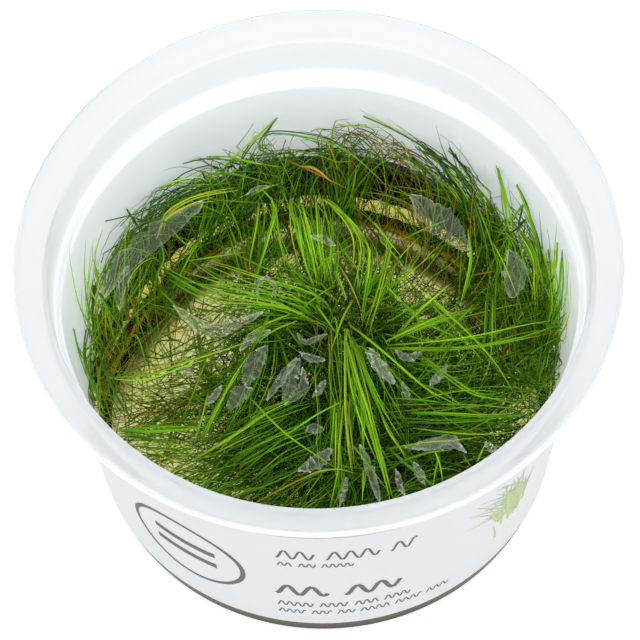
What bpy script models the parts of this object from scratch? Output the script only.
import itertools
import math

import bmesh
import bpy
import numpy as np
from mathutils import Matrix, Vector

# A low round plastic cup of clear jelly with tufts of dwarf hairgrass growing in it.
# Lengths in this file are millimetres, turned to metres once at the end of each shape.
mm = 0.001

# Cup: radii and heights above the underside of the base.
rimRadius = 50.0
rimHeight = 58.7
lipDepth = 1.7
creaseRadius = 44.7
creaseHeight = 56.85
ledgeHeight = 48.4
baseRadius = 39.86
floorThickness = 1.2
wallThickness = 0.76
wallSlope = 0.0805
cupSteps = 56

# Label: a band round the wall with a narrow butt seam.
labelBottom = 4.7
labelTop = 44.1
labelThickness = 0.2
labelSeam = 0.8
labelSeamAngle = 53.6
gap = 0.3

# Jelly: level in the middle, and how far it climbs the wall by compass angle.
gelLevel = 14.5
gelClimbAngles = [-180, -150, -90, -30, 0, 25, 60, 120, 150, 170, 180]
gelClimb = [2, 0, 0, 0, 2, 9, 12, 12.5, 12, 7, 2]
gelSteps = 36

# Grass: crowns and leaves.
crownRadius = 1.6
leafRadius = 0.3
leafSegments = 8

# Each tuft: the middle of its crown, then the points its leaves pass through, root to tip.
tuftCurves = [
    ((1.4, 5.3, 18), [
        [(3.8, -1.7, 33.5), (3.8, -9.5, 36), (3.6, -15.3, 36), (3.7, -19.3, 33), (4.3, -23, 27)],
        [(4.9, -3.1, 32.6), (5.6, -12.6, 38), (6.9, -19.7, 37), (8.7, -23.8, 32), (10, -27, 26)],
        [(2.2, -3.1, 32.3), (2.8, -13.2, 34), (1.8, -20.2, 33), (2.1, -23.8, 29),
         (0.6, -27.4, 24)],
        [(5.5, -0.4, 30), (7.2, -9, 33), (9.3, -15.2, 33), (12.7, -20.4, 28)],
        [(-1.3, -6.3, 30), (-4.5, -10.9, 28)],
    ]),
    ((9.6, 9, 17.9), [
        [(11.8, -5.6, 33.9), (15.4, -10.3, 35), (19.5, -13.1, 32), (25, -12.7, 27)],
        [(16.6, -3.2, 32), (26.9, -2.7, 32), (35.6, -0.2, 32), (40.9, -1.5, 33.7)],
        [(13.4, -0.5, 33), (20.3, 1.4, 35), (27.7, 4.5, 33)],
        [(9.5, -0.3, 27.1), (13.3, -9.4, 28), (14, -15.7, 27), (13.9, -19.8, 22)],
        [(17.2, 7.4, 29.4), (23.1, 13, 28)],
    ]),
    ((4.6, -1, 18.1), [
        [(6, -12.6, 29.1), (6.3, -19.7, 28), (7.4, -25.2, 22)],
        [(3.6, -7.9, 26), (4.1, -16.6, 26), (6.4, -21.5, 25), (9.7, -23.5, 21)],
        [(-1.4, -15.9, 25.2), (-4.7, -21.8, 22)],
        [(4.3, -7.7, 23.9), (4.4, -17, 23), (4, -25.4, 20)],
    ]),
    ((-0.9, 10.9, 17.6), [
        [(-2.6, 4.8, 34), (-6.8, 5.1, 37), (-11.9, 6.5, 37), (-17, 10.1, 35), (-23.2, 15.1, 31),
         (-27.2, 19.2, 27.2)],
        [(-6.1, 6, 33), (-11.2, 6.7, 34), (-16.3, 9.7, 32), (-21.6, 13.8, 29)],
        [(-8.7, 6.5, 30), (-13.9, 8.7, 29), (-20.1, 12, 26)],
        [(-0.3, 8.7, 31), (-3.7, 9.7, 33), (-8.5, 11.5, 33), (-14.6, 16.1, 30),
         (-20.8, 20.2, 27)],
        [(-3.7, 5.2, 27), (-9.8, 5.1, 28.2), (-16.7, 4, 27.6), (-23.8, 3.6, 24.5)],
    ]),
    ((0.4, 17.8, 17.7), [
        [(-0.2, 12.3, 30.9), (-1.5, 14.6, 38), (-2.4, 19.9, 38), (-3.4, 26.8, 35)],
        [(-2.1, 14.6, 31), (-2.7, 17.5, 34), (-4.1, 23.3, 35), (-5.9, 29.8, 33)],
        [(1.4, 13.2, 32.2), (2.3, 18.1, 33), (1.7, 24.3, 33), (0.3, 31.2, 31)],
        [(-2.7, 13.5, 29.2), (-5.6, 16.6, 31), (-7.2, 22.5, 31), (-8.6, 28.8, 30)],
        [(-0.1, 14.9, 27.7), (0.6, 17.1, 29), (4.4, 19.4, 29), (7.8, 22.3, 28)],
    ]),
    ((-12.4, 19.8, 17.8), [
        [(-10.8, 17.3, 27), (-9, 18.6, 33), (-7.2, 22.8, 35), (-8, 28.9, 32)],
        [(-12.2, 19, 27), (-10.9, 21.4, 32), (-10.2, 28.6, 31)],
        [(-13.5, 20.3, 25), (-14.7, 23.7, 28), (-16.9, 29.7, 28.2)],
        [(-10, 18, 24), (-5.8, 21.1, 27), (-3, 25.6, 28)],
    ]),
    ((6.8, 16.2, 17.7), [
        [(8.3, 10.1, 35.8), (8.9, 13.3, 38), (6.6, 19.5, 36), (3, 27.5, 32)],
        [(10.3, 9.8, 35.2), (12.2, 14.3, 38)],
        [(9.8, 7.8, 31), (13.5, 13.5, 34), (17.9, 19.8, 32)],
        [(5.5, 15.7, 31), (4.3, 21.9, 31)],
        [(11, 11.5, 28), (15, 14.8, 29), (21.6, 23.7, 29)],
    ]),
    ((-9.3, 13.8, 18.2), [
        [(-10.2, 4.8, 27.2), (-12.3, -1, 31), (-14.8, -7, 32), (-17.4, -11.6, 30),
         (-20.3, -15.6, 27)],
        [(-9.6, 5.3, 24.6), (-10.5, -3.4, 28), (-13.6, -9.5, 27), (-17.7, -14.5, 24)],
        [(-11.7, 7.9, 25), (-15.8, 2.1, 27.4), (-21.1, -0.9, 28), (-27.3, -1.1, 25),
         (-33, 5.7, 21.1)],
        [(-8.1, 6.7, 24), (-5.7, -2.5, 26), (-7.2, -7.6, 24.7), (-11, -14.2, 22.9)],
    ]),
    ((-4.2, -2.9, 17.7), [
        [(-6.7, -9, 24.3), (-12, -13.3, 27), (-17.1, -16.3, 27), (-21.5, -18.3, 25)],
        [(-6, -10.1, 22), (-10.9, -14.9, 24.1), (-15.6, -18.4, 24), (-19.6, -21.9, 23)],
        [(-5.1, -11.6, 21), (-8.8, -16.8, 22), (-14.1, -21.3, 22), (-15.3, -23, 21)],
        [(-2.9, -9.3, 22), (-1.4, -15.2, 23.8), (0.5, -19.6, 24), (2.9, -22.1, 22)],
    ]),
    ((-19, -0.5, 18.2), [
        [(-20.6, -4.9, 21), (-22.2, -10.8, 23), (-23.6, -16.1, 24), (-25, -19.9, 24)],
        [(-21.5, -1.9, 21), (-26.6, -2.2, 23), (-30.8, -3.7, 24), (-34.3, -5.5, 24)],
        [(-20.5, 0.1, 22), (-21.2, 3.1, 24.5), (-21.8, 7.8, 25), (-23.7, 14.2, 23)],
        [(-23.3, -4.6, 20), (-27.5, -8.1, 22), (-31.8, -11, 23), (-34.9, -11.6, 23)],
    ]),
    ((-26, -6, 18.1), [
        [(-24.2, -9.7, 21), (-21.6, -10.9, 22), (-18.9, -11, 23)],
        [(-28.6, -8.9, 20), (-31, -12.8, 22), (-33.1, -13.8, 24)],
        [(-26.5, -10, 20), (-27.1, -14.9, 22), (-27.5, -18.8, 24)],
        [(-28.5, -5, 20), (-31.8, -4.9, 22), (-34.8, -1.9, 24), (-36.5, 2.1, 24)],
    ]),
    ((-36.5, 5.3, 23.8), [
        [(-38.4, 7.8, 24.5), (-38.9, 10.3, 29.4), (-38.1, 12.2, 32.6), (-37.6, 16.2, 33.8)],
        [(-39.1, 9.1, 24.1), (-40, 8.6, 33.8), (-39.9, 11, 39.7), (-39.3, 14.1, 44.4)],
        [(-36.7, 8.5, 26.8), (-37.7, 12.8, 28.7), (-38.4, 14.3, 37.1), (-36.7, 19.2, 40)],
        [(-39.3, 6.1, 22.8), (-40.6, -1.3, 30.4), (-41.2, -2.4, 37.6), (-41.5, -1.4, 41.3)],
        [(-38.2, 4, 21.7), (-38.8, -1.4, 24), (-38.9, -7.5, 28), (-37.3, -10.1, 27)],
    ]),
    ((-34.7, 9.8, 25.2), [
        [(-37.4, 14.2, 26.6), (-36.8, 17.1, 30.1), (-34.6, 21.2, 29.9), (-31.7, 25.3, 29.6),
         (-27.7, 29.5, 28.4)],
        [(-36.4, 15.4, 26.7), (-35.5, 19.1, 27.9), (-32.5, 24.2, 28.4), (-28.4, 27.2, 28.9)],
        [(-34.5, 14, 27), (-31.4, 20.6, 30), (-31.1, 25.1, 29.1), (-32.8, 24.9, 36.8)],
        [(-33.6, 13.1, 25.9), (-31.3, 17.3, 27), (-29.2, 20.9, 29.5)],
    ]),
    ((-27.2, 14.3, 23.1), [
        [(-28.4, 16.9, 24.4), (-29.6, 18.4, 26.2), (-29.8, 20.3, 27), (-27.5, 20.2, 30.2)],
        [(-27.7, 17.5, 24), (-27.7, 21.1, 28.9), (-26.5, 29.2, 30.8), (-23.1, 33.3, 28.9),
         (-19.8, 35, 28.4)],
        [(-25.9, 15.7, 24), (-23.4, 18.9, 27), (-20.7, 23.3, 28), (-18, 26.2, 28.1)],
        [(-29.1, 14, 23), (-31.6, 14, 24.7), (-33.1, 13.2, 24.9), (-37.1, 11.5, 24.7)],
    ]),
    ((-19.9, 24.5, 24.4), [
        [(-20.7, 26.2, 26), (-23.2, 31.3, 29.2), (-27.6, 29.2, 29.4), (-31.3, 26.1, 31.3)],
        [(-19.7, 26.4, 28), (-18.3, 29.2, 30), (-19.6, 35.2, 28.6), (-20.8, 34.9, 30.5),
         (-24.1, 33, 32.8), (-27, 30.8, 34.2)],
        [(-18.5, 26, 26.9), (-16.6, 29.5, 29.5), (-17.2, 32.3, 30), (-19.3, 35.6, 28.4),
         (-19.7, 35.6, 31.3)],
        [(-18.1, 25.5, 25.9), (-13.6, 29.8, 28.8), (-9.4, 31, 31.5), (-5.3, 32.8, 31)],
    ]),
    ((-14.5, 28.3, 24.6), [
        [(-14.8, 30.3, 28.2), (-15.6, 37, 28.3), (-17.6, 36.6, 30.5), (-20.1, 35.7, 34.7),
         (-22.8, 34.2, 36)],
        [(-13.9, 28.6, 31.9), (-11.9, 37.6, 29.6), (-13.2, 38.3, 28.6), (-16.3, 37.4, 32.2),
         (-18.5, 36.6, 34.6)],
        [(-13.4, 30.1, 28.3), (-13.3, 37.3, 29.7), (-11.3, 39.2, 32.6), (-9.2, 38.9, 36.5),
         (-6.6, 39.9, 35.9)],
        [(-12.6, 28.1, 28), (-9.4, 30.5, 30.5), (-2.8, 38.7, 30.3), (4.4, 38, 30.7),
         (9.1, 38.6, 28.9)],
    ]),
    ((-4.7, 30.7, 23.4), [
        [(-4.5, 30.6, 30), (-3.3, 40.4, 28.7), (-6.1, 40, 28.9), (-9.6, 38.8, 32.4),
         (-8.3, 40.2, 34.9), (-6.2, 40.9, 39.2)],
        [(-5.4, 30.7, 29), (-8, 39.5, 29), (-9, 39.7, 31), (-6.7, 40.4, 33.9)],
        [(-3.1, 30.2, 29), (-1.8, 40.4, 28.5), (1.9, 40.1, 28.4), (0.8, 40.6, 30.2)],
        [(-6.4, 30.5, 27), (-9.5, 38.9, 29), (-13.1, 38.3, 28.6)],
    ]),
    ((3.3, 30.5, 22.9), [
        [(3.1, 30.9, 29), (2.7, 40.4, 28.3), (3.2, 40.2, 28.5), (3.6, 40.9, 35.3),
         (7.6, 40.4, 36.4), (12.3, 39.2, 36.2)],
        [(4, 30.2, 30), (3.6, 40.3, 28.3), (5.3, 38.5, 32.6), (5.8, 40.5, 33.8)],
        [(5.2, 30.2, 29), (7.3, 39.8, 28.4), (5.3, 38.9, 29), (1, 40, 31.8), (-4.1, 40.8, 34.2),
         (-7.7, 40.2, 34.6)],
        [(6, 29.3, 28), (9.9, 38.5, 28.7), (10, 39.2, 28.6), (7.1, 40.3, 34.3)],
    ]),
    ((19.9, 23.5, 22.8), [
        [(19.7, 26.1, 27), (19.5, 35.5, 28.2), (16.2, 37.1, 33.3), (12.7, 38.8, 36.9),
         (8.9, 40.3, 38.6)],
        [(20.8, 25, 28), (23.2, 33.1, 27.6), (20.4, 35.3, 32.2), (18.2, 36.7, 34.2)],
        [(21.7, 24.3, 27), (26, 30.7, 27.4), (23.9, 32.5, 29.7), (17.2, 36.3, 30.1)],
        [(18.2, 25.8, 26), (16.6, 28.1, 29), (12.2, 29.8, 30), (7.9, 30.7, 30)],
        [(22.6, 23.7, 24), (24.4, 24.8, 26), (27.4, 28.9, 27.2), (28.2, 27.4, 26.9)],
    ]),
    ((25.2, 16.1, 20.8), [
        [(26.5, 17.1, 27), (28.6, 27.2, 27.7), (26.8, 29.6, 27.8), (22.2, 34.4, 33.5),
         (15.3, 38.2, 36.8), (9.5, 39.9, 39.9)],
        [(27.4, 16.5, 26.9), (29.4, 27.3, 26.7), (27.2, 29.9, 28.2), (23, 34, 34.9),
         (16.8, 37.6, 37.3)],
        [(28.2, 15.7, 27), (30.6, 25.3, 26.7), (29.1, 27.7, 30.4), (23.4, 32.5, 35.9),
         (21.4, 35.7, 42.6)],
        [(28.9, 15.5, 26), (31.4, 24.5, 26), (30.2, 26.4, 27), (26, 31.3, 31.4),
         (23.5, 33.6, 40.3)],
        [(29.4, 15.1, 23.9), (31.8, 22.2, 26.9), (32.2, 24.2, 25.8), (29.9, 27.6, 31.1),
         (24.3, 31.7, 36)],
    ]),
    ((32.3, 8.8, 22.3), [
        [(33.2, 12.5, 24.5), (34.3, 20.8, 25.6), (32.6, 22.6, 33.3), (31.8, 26.7, 41.3)],
        [(34.7, 11.3, 23.2), (37.1, 15.2, 24.7), (38.3, 14.1, 32.3), (37, 18.1, 37.7),
         (34.8, 22.8, 42.1)],
        [(33.5, 12.6, 23.7), (35.6, 18, 25.5), (34.7, 18.8, 30.3), (31.8, 23.8, 28.2),
         (31.7, 25.5, 30.9)],
        [(31.6, 12.4, 22.7), (31.5, 16.4, 24.8), (33.1, 23, 26.4), (36.1, 19.6, 36.4)],
    ]),
    ((36.7, 4.9, 21.6), [
        [(38.3, 11.1, 22.8), (38.8, 11.3, 27.9), (37, 14.5, 30.4), (35.5, 19.9, 31.3)],
        [(39.1, 8.1, 21.9), (40.4, 5.4, 32.5), (39.4, 8.7, 35.3), (38.7, 13.2, 33.8)],
        [(39.2, 5.6, 24.2), (40.8, 2.6, 33.9), (41.2, 4.6, 40.5), (41, 8, 44)],
        [(39.3, 3, 22.8), (41.3, -1.9, 38.9), (41.6, 1.1, 43), (41.5, 6.1, 46.7)],
        [(38.7, 9.5, 22.1), (39.6, 8.1, 28.1), (39.9, 9.6, 35.4), (40.5, 10, 43.3)],
    ]),
    ((31, 1.8, 18.7), [
        [(32.6, -2.8, 24), (35, -7, 27), (37.5, -8.2, 29), (39.9, -5.5, 26.1)],
        [(31.6, -1.9, 20), (28.5, -8.4, 23), (24, -11.1, 24), (18, -10.8, 24), (13, -8.8, 23)],
        [(28.2, 1, 24), (25.6, 2.4, 27), (20.7, 7.5, 29), (18.7, 9.1, 28.6)],
        [(32.9, 2.1, 20.7), (37.1, 10.4, 23.8), (39.6, 1.1, 22.1)],
        [(28.9, -2.8, 20), (25.2, -6.7, 22), (20.9, -5.4, 26), (17.5, -3.2, 28)],
    ]),
    ((21, -5.1, 17.7), [
        [(19, -9.2, 21), (14.9, -10.7, 23), (10.2, -12, 24)],
        [(23.3, -9.5, 20), (28.3, -11.8, 22), (32.5, -12.5, 24), (34.9, -13.2, 27)],
        [(21.2, -9.9, 20), (24.7, -14.2, 22.2), (28.7, -15.6, 24), (31.4, -15.1, 25)],
        [(19.4, -11.2, 20), (17.7, -17.1, 22), (18.6, -22.5, 22)],
        [(17.4, -6.3, 22), (20.1, -3.7, 26), (22.9, 0.9, 28), (24.3, 3.9, 29)],
    ]),
    ((15.3, -13.9, 18), [
        [(17, -13.9, 19), (21.3, -14.8, 21), (26.7, -14.9, 21.8)],
        [(13.5, -15.3, 19), (11.8, -14.3, 22), (10.7, -13.4, 23)],
        [(16, -16.8, 18), (17.5, -21.4, 20), (18.5, -23.6, 19)],
        [(13.4, -16.7, 18), (12, -21.5, 20), (11, -24.8, 19)],
    ]),
]

# Torn flakes of clear jelly lying on the leaves: both ends, width and curl.
scrapPlaces = [
    ((-13.1, -8.8, 33.0), (-9.5, -1.5, 33.0), 3.0, 0.6),
    ((-16.2, -13.8, 34.0), (-12.1, -10.1, 34.0), 2.6, 0.5),
    ((-6.5, -12.6, 33.0), (-4.0, -4.2, 33.0), 2.6, 0.7),
    ((7.3, -6.4, 38.0), (11.7, -12.7, 38.0), 2.0, 0.6),
    ((-3.3, -18.2, 33.0), (-0.3, -18.2, 33.0), 1.7, 0.3),
    ((14.4, -20.7, 30.0), (22.8, -20.9, 30.0), 2.2, 0.6),
]
scrapThickness = 0.35


def addMaterial(name, colour, roughness, transmission=0.0, ior=1.45):
    """One plain Principled material."""
    material = bpy.data.materials.new(name)
    material.use_nodes = True
    shader = material.node_tree.nodes["Principled BSDF"]
    shader.inputs["Base Color"].default_value = (*colour, 1.0)
    shader.inputs["Roughness"].default_value = roughness
    shader.inputs["Transmission Weight"].default_value = transmission
    shader.inputs["IOR"].default_value = ior
    return material


def addObject(name, mesh, collection, material):
    """Puts a finished mesh in the scene as one node."""
    item = bpy.data.objects.new(name, mesh)
    collection.objects.link(item)
    mesh.materials.append(material)
    return item


def meshFrom(bm, name, sharpDegrees=35.0):
    """Closes a bmesh into a mesh in metres, shaded smooth with sharp edges kept."""
    bmesh.ops.recalc_face_normals(bm, faces=bm.faces)
    bmesh.ops.scale(bm, vec=(mm, mm, mm), verts=bm.verts)
    mesh = bpy.data.meshes.new(name)
    bm.to_mesh(mesh)
    bm.free()
    for polygon in mesh.polygons:
        polygon.use_smooth = True
    mesh.set_sharp_from_angle(angle=math.radians(sharpDegrees))
    return mesh


def outerWall(height):
    """Radius of the wall's outside at a height."""
    return baseRadius + wallSlope * height


def innerWall(height):
    """Radius of the wall's inside at a height."""
    return outerWall(height) - wallThickness


def jellyHeight(x, y):
    """Height of the jelly's surface over a point of the floor."""
    radius = math.hypot(x, y)
    angle = math.degrees(math.atan2(y, x))
    climb = float(np.interp(angle, gelClimbAngles, gelClimb))
    part = min(max((radius - 24.0) / 15.0, 0.0), 1.0)
    part = part * part * (3.0 - 2.0 * part)
    ripple = 0.5 * math.sin(x * 0.31 + 0.7) * math.cos(y * 0.27 - 0.4)
    return gelLevel + climb * part + ripple


def cupProfile():
    """The cup's section, from the middle of the floor inside, over the rim, to the base outside."""
    lipBottom = rimHeight - lipDepth
    inside = [
        (0.0, floorThickness),
        (innerWall(3.2) - 1.7, floorThickness),
        (innerWall(3.2) - 0.5, 1.75),
        (innerWall(3.2), 3.2),
        (innerWall(ledgeHeight - 0.5), ledgeHeight - 0.5),
        (innerWall(ledgeHeight) + 0.25, ledgeHeight),
        (innerWall(ledgeHeight) + 0.75, ledgeHeight + 0.12),
        (innerWall(ledgeHeight) + 1.05, ledgeHeight + 0.6),
        (creaseRadius - 0.15, creaseHeight - 0.6),
        (creaseRadius, creaseHeight),
    ]
    flange = [
        (creaseRadius + 1.6, creaseHeight + 0.45),
        (creaseRadius + 3.7, creaseHeight + 1.35),
        (rimRadius - 0.5, rimHeight),
        (rimRadius - 0.1, rimHeight - 0.12),
        (rimRadius, rimHeight - 0.45),
        (rimRadius, lipBottom),
        (rimRadius - 0.7, lipBottom),
        (rimRadius - 0.9, rimHeight - 0.95),
        (creaseRadius + 3.7, creaseHeight + 0.45),
        (creaseRadius + 1.3, creaseHeight - 0.5),
        (creaseRadius + 0.65, creaseHeight - 1.1),
    ]
    outside = [
        (outerWall(ledgeHeight) + 1.05, ledgeHeight + 0.2),
        (outerWall(ledgeHeight) + 0.6, ledgeHeight - 0.6),
        (outerWall(ledgeHeight - 1.0), ledgeHeight - 1.0),
        (outerWall(0.6), 0.6),
        (baseRadius - 0.15, 0.15),
        (baseRadius - 0.6, 0.0),
        (0.0, 0.0),
    ]
    return inside + flange + outside


def turnedProfile(name, profile, steps, collection, material):
    """A solid of revolution made by the Screw modifier from a profile at +X."""
    bm = bmesh.new()
    verts = [bm.verts.new((radius * mm, 0.0, height * mm)) for radius, height in profile]
    for first, second in zip(verts, verts[1:]):
        bm.edges.new((first, second))
    mesh = bpy.data.meshes.new(name)
    bm.to_mesh(mesh)
    bm.free()
    item = addObject(name, mesh, collection, material)
    screw = item.modifiers.new("turn", "SCREW")
    screw.axis = "Z"
    screw.angle = math.tau
    screw.steps = steps
    screw.render_steps = steps
    screw.use_merge_vertices = True
    screw.merge_threshold = 0.00001
    screw.use_smooth_shade = True
    return item


def makeLabel(collection, material):
    """The label: a four-sided section spun round the axis, with a butt seam left open."""
    bm = bmesh.new()
    inner = [(outerWall(height) + gap, height) for height in (labelBottom, labelTop)]
    corners = [
        (inner[0][0], inner[0][1]),
        (inner[0][0] + labelThickness, inner[0][1]),
        (inner[1][0] + labelThickness, inner[1][1]),
        (inner[1][0], inner[1][1]),
    ]
    seam = labelSeam / inner[1][0]
    face = bm.faces.new([bm.verts.new((radius, 0.0, height)) for radius, height in corners])
    turn = math.radians(labelSeamAngle) + seam / 2
    bmesh.ops.rotate(bm, verts=bm.verts, cent=(0, 0, 0), matrix=Matrix.Rotation(turn, 3, "Z"))
    bmesh.ops.spin(bm, geom=[face, *face.edges, *face.verts], cent=(0, 0, 0), axis=(0, 0, 1),
                   angle=math.tau - seam, steps=cupSteps, use_merge=False, use_duplicate=False)
    addObject("label", meshFrom(bm, "label"), collection, material)


def makeGel(collection, material):
    """The jelly: a turned block whose top is lifted to the jelly's surface."""
    bm = bmesh.new()
    top = gelLevel + 20.0
    radii = [0.0, 6.0, 12.0, 18.0, 23.0, 27.0, 30.5, 34.0, 37.0]
    verts = [bm.verts.new((radius, 0.0, top)) for radius in radii]
    verts.append(bm.verts.new((innerWall(gelLevel) - gap, 0.0, top)))
    verts.append(bm.verts.new((innerWall(3.4) - gap, 0.0, 3.4)))
    verts.append(bm.verts.new((innerWall(3.4) - gap - 1.9, 0.0, floorThickness + gap)))
    verts.append(bm.verts.new((0.0, 0.0, floorThickness + gap)))
    edges = [bm.edges.new(pair) for pair in zip(verts, verts[1:])]
    bmesh.ops.spin(bm, geom=[*verts, *edges], cent=(0, 0, 0), axis=(0, 0, 1),
                   angle=math.tau, steps=gelSteps, use_merge=True)
    bmesh.ops.remove_doubles(bm, verts=bm.verts, dist=0.001)
    for vert in bm.verts:
        if vert.co.z > top - 0.01:
            height = jellyHeight(vert.co.x, vert.co.y)
            radius = math.hypot(vert.co.x, vert.co.y)
            if radius > 38.0:
                grow = (innerWall(height) - gap) / radius
                vert.co.x *= grow
                vert.co.y *= grow
            vert.co.z = height
    addObject("gel", meshFrom(bm, "gel"), collection, material)


def smoothPath(points, count):
    """Even steps along a smooth curve through the given points."""
    ends = [2 * points[0] - points[1], *points, 2 * points[-1] - points[-2]]
    dense = []
    for before, start, stop, after in zip(ends, ends[1:], ends[2:], ends[3:]):
        for part in np.linspace(0.0, 1.0, 10, endpoint=False):
            dense.append(0.5 * (2 * start + (stop - before) * part
                                + (2 * before - 5 * start + 4 * stop - after) * part ** 2
                                + (3 * start - before - 3 * stop + after) * part ** 3))
    dense.append(points[-1])
    dense = np.array(dense)
    lengths = np.linalg.norm(np.diff(dense, axis=0), axis=1)
    travelled = np.concatenate([[0.0], np.cumsum(lengths)])
    wanted = np.linspace(0.0, travelled[-1], count + 1)
    return [Vector([float(np.interp(step, travelled, dense[:, axis])) for axis in range(3)])
            for step in wanted]


def growLeaf(bm, face, path):
    """Extrudes one face of a crown along a path into a tapering three-sided leaf."""
    middle = face.calc_center_median()
    normal = face.normal.copy()
    last = len(path) - 1
    for step, place in enumerate(path[1:], start=1):
        face = bmesh.ops.extrude_discrete_faces(bm, faces=[face])["faces"][0]
        if step == last:
            bmesh.ops.pointmerge(bm, verts=face.verts[:], merge_co=place)
            return
        heading = (path[step + 1] - path[step - 1]).normalized()
        turn = normal.rotation_difference(heading)
        radius = leafRadius * (1.0 - 0.45 * (step / last) ** 2)
        for vert in face.verts:
            vert.co = place + (turn @ (vert.co - middle)).normalized() * radius
        middle = place.copy()
        normal = heading


def shareFaces(faces, headings):
    """Picks a face of the crown for each leaf, so that together they leave it as straight as can be."""
    best, chosen = -1e9, []
    for order in itertools.permutations(range(len(headings))):
        free, picked, score = list(faces), {}, 0.0
        for leaf in order:
            heading = headings[leaf].normalized()
            picked[leaf] = max(free, key=lambda face: face.normal.dot(heading))
            score += picked[leaf].normal.dot(heading)
            free.remove(picked[leaf])
        if score > best:
            best, chosen = score, [picked[leaf] for leaf in range(len(headings))]
    return chosen


def makeTuft(name, crown, curves, collection, material):
    """One tuft: a small round crown whose faces are drawn out into leaves."""
    bm = bmesh.new()
    centre = Vector(crown)
    bmesh.ops.create_icosphere(bm, subdivisions=1, radius=crownRadius)
    bmesh.ops.translate(bm, vec=centre, verts=bm.verts)
    bm.normal_update()
    starts = []
    for face, curve in zip(shareFaces(bm.faces, [Vector(curve[0]) - centre for curve in curves]), curves):
        middle = face.calc_center_median()
        leaving = middle + face.normal * crownRadius * 0.6
        beyond = [Vector(point) for point in curve if (Vector(point) - centre).length > 2.2 * crownRadius]
        starts.append((face, smoothPath([np.array(point) for point in (middle, leaving, *beyond)], leafSegments)))
    for face, path in starts:
        growLeaf(bm, face, path)
    addObject(name, meshFrom(bm, name, 80.0), collection, material)


def makeScrap(name, place, collection, material):
    """One torn flake of jelly: a small grid bent and given a thickness."""
    start, stop, width, curl = place
    start, stop = Vector(start), Vector(stop)
    along = (stop - start).normalized()
    across = Vector((0.0, -0.35, 0.94)).cross(along).normalized()
    length = (stop - start).length
    bm = bmesh.new()
    bmesh.ops.create_grid(bm, x_segments=5, y_segments=2, size=0.5)
    for vert in bm.verts:
        part = vert.co.x
        vert.co.y *= width * (1.0 - 1.3 * part * part + 0.25 * math.sin(7 * part))
        vert.co.z = curl * (part * part - 0.1)
        vert.co.x *= length
    bmesh.ops.recalc_face_normals(bm, faces=bm.faces)
    bmesh.ops.solidify(bm, geom=bm.faces[:], thickness=scrapThickness)
    turn = Matrix((along, across, along.cross(across))).transposed()
    bmesh.ops.rotate(bm, verts=bm.verts, cent=(0, 0, 0), matrix=turn)
    bmesh.ops.translate(bm, vec=(start + stop) / 2, verts=bm.verts)
    addObject(name, meshFrom(bm, name), collection, material)


def main():
    for item in list(bpy.data.objects):
        bpy.data.objects.remove(item, do_unlink=True)
    collection = bpy.data.collections.new("dwarf_hairgrass")
    bpy.context.scene.collection.children.link(collection)
    plastic = addMaterial("milky_plastic", (0.86, 0.88, 0.9), 0.35, 0.4, 1.49)
    paper = addMaterial("white_label", (0.83, 0.85, 0.85), 0.45)
    jelly = addMaterial("clear_jelly", (0.72, 0.6, 0.36), 0.08, 0.9, 1.34)
    leaf = addMaterial("leaf", (0.14, 0.34, 0.02), 0.4)
    flake = addMaterial("jelly_flake", (0.75, 0.78, 0.72), 0.12, 0.8, 1.34)
    turnedProfile("cup", cupProfile(), cupSteps, collection, plastic)
    makeLabel(collection, paper)
    makeGel(collection, jelly)
    for number, (crown, curves) in enumerate(tuftCurves, start=1):
        makeTuft(f"tuft_{number:02d}", crown, curves, collection, leaf)
    for number, place in enumerate(scrapPlaces, start=1):
        makeScrap(f"scrap_{number}", place, collection, flake)


main()
